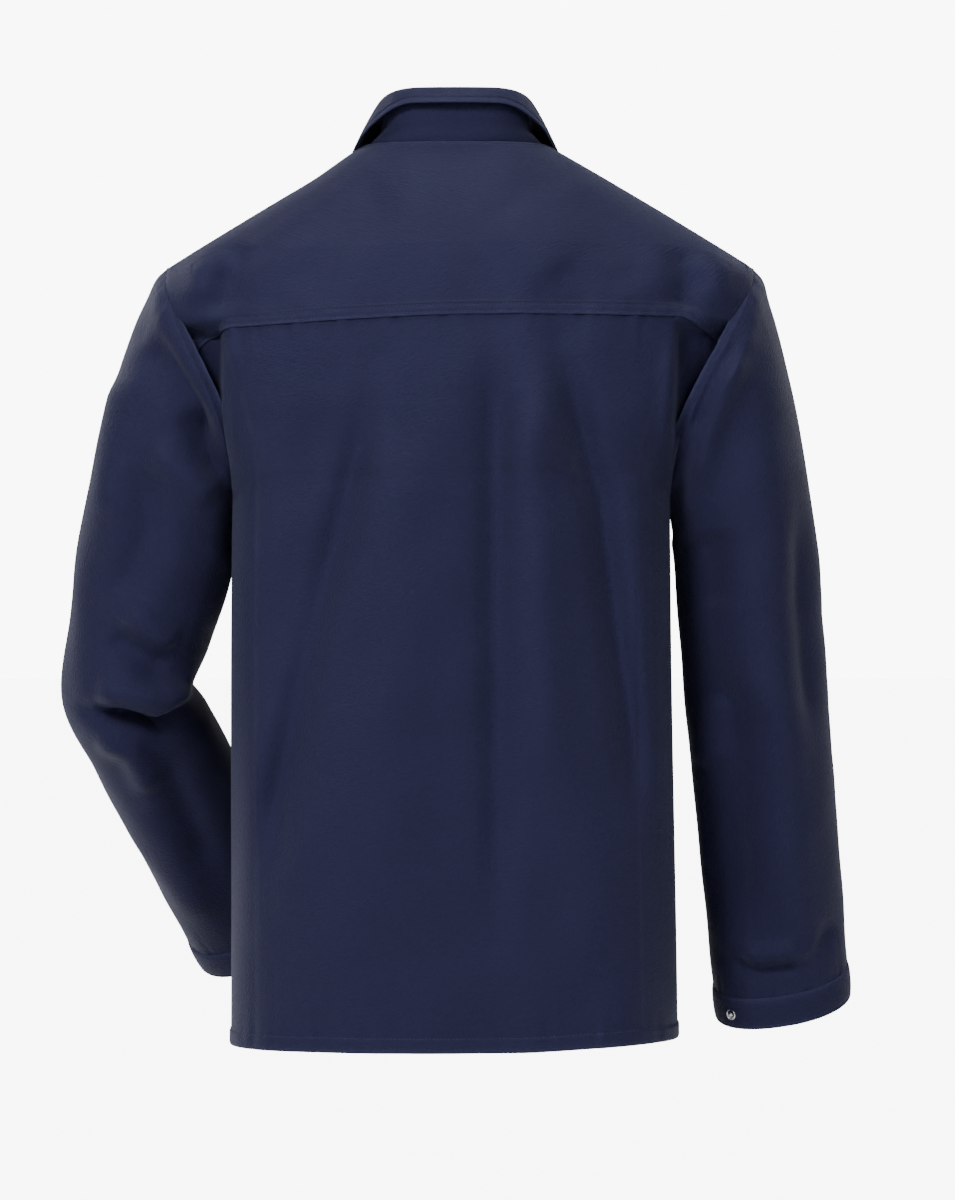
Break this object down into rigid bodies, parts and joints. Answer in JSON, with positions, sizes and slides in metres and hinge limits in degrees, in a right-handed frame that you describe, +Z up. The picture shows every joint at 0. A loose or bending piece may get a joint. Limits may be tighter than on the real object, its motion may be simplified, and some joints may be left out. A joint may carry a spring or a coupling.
{
  "type": "welding jacket",
  "caption": "Hip-length flame-retardant work jacket with turn-down collar, back yoke, hinged front edges, bending sleeves, cuff tabs, pockets and snap fasteners.",
  "frame": {"origin": "middle of the neck opening, level with the centre-back neck seam and midway over the shoulder seams", "axes": "+Z up as worn, +Y towards the wearer's back, +X towards the wearer's left arm"},
  "size_m": [0.6824, 0.3753, 0.8276],
  "materials": {
    "cloth": "matt navy twill, flame-retardant cotton",
    "collar_cloth": "matt navy twill, two layers, stitched",
    "inner_cloth": "matt navy cloth and tape",
    "label": "plain woven blank label",
    "press_fastener": "nickel-plated brass, slightly worn"
  },
  "bodies": {
    "torso": {"back_yoke": "cloth", "back_panel": "cloth", "front_left_panel": "cloth", "front_right_panel": "cloth", "collar_stand": "collar_cloth", "collar_fall": "collar_cloth", "hang_loop": "inner_cloth", "neck_label": "label", "chest_pocket_left": "cloth", "chest_pocket_right": "cloth", "chest_stud_left": "press_fastener", "chest_stud_right": "press_fastener", "hip_pocket_left": "cloth", "hip_pocket_right": "cloth", "inner_pocket": "inner_cloth"},
    "front_left": {"front_left_edge": "cloth", "front_cap_1": "press_fastener", "front_cap_2": "press_fastener", "front_cap_3": "press_fastener", "front_cap_4": "press_fastener", "front_cap_5": "press_fastener"},
    "front_right": {"front_right_edge": "cloth", "front_stud_1": "press_fastener", "front_stud_2": "press_fastener", "front_stud_3": "press_fastener", "front_stud_4": "press_fastener", "front_stud_5": "press_fastener"},
    "chest_flap_left_body": {"chest_flap_left": "cloth", "chest_cap_left": "press_fastener"},
    "upper_arm_left": {"sleeve_left_upper": "cloth"},
    "forearm_left": {"sleeve_left_lower": "cloth", "cuff_left_band": "cloth", "cuff_left_stud": "press_fastener", "cuff_left_open_stud": "press_fastener"},
    "cuff_tab_left": {"cuff_left_tab": "cloth", "cuff_left_cap": "press_fastener"},
    "chest_flap_right_body": {"chest_flap_right": "cloth", "chest_cap_right": "press_fastener"},
    "upper_arm_right": {"sleeve_right_upper": "cloth"},
    "forearm_right": {"sleeve_right_lower": "cloth", "cuff_right_band": "cloth", "cuff_right_stud": "press_fastener", "cuff_right_open_stud": "press_fastener"},
    "cuff_tab_right": {"cuff_right_tab": "cloth", "cuff_right_cap": "press_fastener"}
  },
  "joints": [
    {"name": "front_left_open", "type": "hinge", "parent": "torso", "child": "front_left", "pos_m": [0.06329, -0.14775, -0.423], "axis": [-0.1023, 0.0021, 0.9948], "range_deg": [0, 50]},
    {"name": "front_right_open", "type": "hinge", "parent": "torso", "child": "front_right", "pos_m": [-0.06329, -0.14775, -0.423], "axis": [-0.1023, -0.0021, -0.9948], "range_deg": [0, 6]},
    {"name": "chest_flap_left_lift", "type": "hinge", "parent": "torso", "child": "chest_flap_left_body", "pos_m": [0.11627, -0.13429, -0.208], "axis": [-0.986, -0.167, 0], "range_deg": [0, 120]},
    {"name": "chest_flap_right_lift", "type": "hinge", "parent": "torso", "child": "chest_flap_right_body", "pos_m": [-0.11627, -0.13429, -0.208], "axis": [-0.986, 0.167, 0], "range_deg": [0, 120]},
    {"name": "shoulder_left_raise", "type": "hinge", "parent": "torso", "child": "upper_arm_left", "pos_m": [0.2586, 0, -0.1044], "axis": [0, -1, 0], "range_deg": [0, 60]},
    {"name": "elbow_left_bend", "type": "hinge", "parent": "upper_arm_left", "child": "forearm_left", "pos_m": [0.27808, -0.09108, -0.4455], "axis": [-0.9913, 0.119, 0.0568], "range_deg": [0, 60]},
    {"name": "cuff_tab_left_open", "type": "hinge", "parent": "forearm_left", "child": "cuff_tab_left", "pos_m": [0.19188, -0.2194, -0.65126], "axis": [0.396, 0.5397, 0.7429], "range_deg": [0, 120]},
    {"name": "shoulder_right_raise", "type": "hinge", "parent": "torso", "child": "upper_arm_right", "pos_m": [-0.2586, 0, -0.1044], "axis": [0, 1, 0], "range_deg": [0, 60]},
    {"name": "elbow_right_bend", "type": "hinge", "parent": "upper_arm_right", "child": "forearm_right", "pos_m": [-0.25748, -0.08985, -0.46822], "axis": [-0.9971, 0, 0.0764], "range_deg": [0, 100]},
    {"name": "cuff_tab_right_open", "type": "hinge", "parent": "forearm_right", "child": "cuff_tab_right", "pos_m": [-0.2863, -0.10588, -0.72352], "axis": [-0.0962, -0.1257, -0.9874], "range_deg": [0, 120]}
  ],
  "couplings": [
    {"joint": "front_right_open", "follows": "front_left_open", "ratio": 0.12}
  ]
}
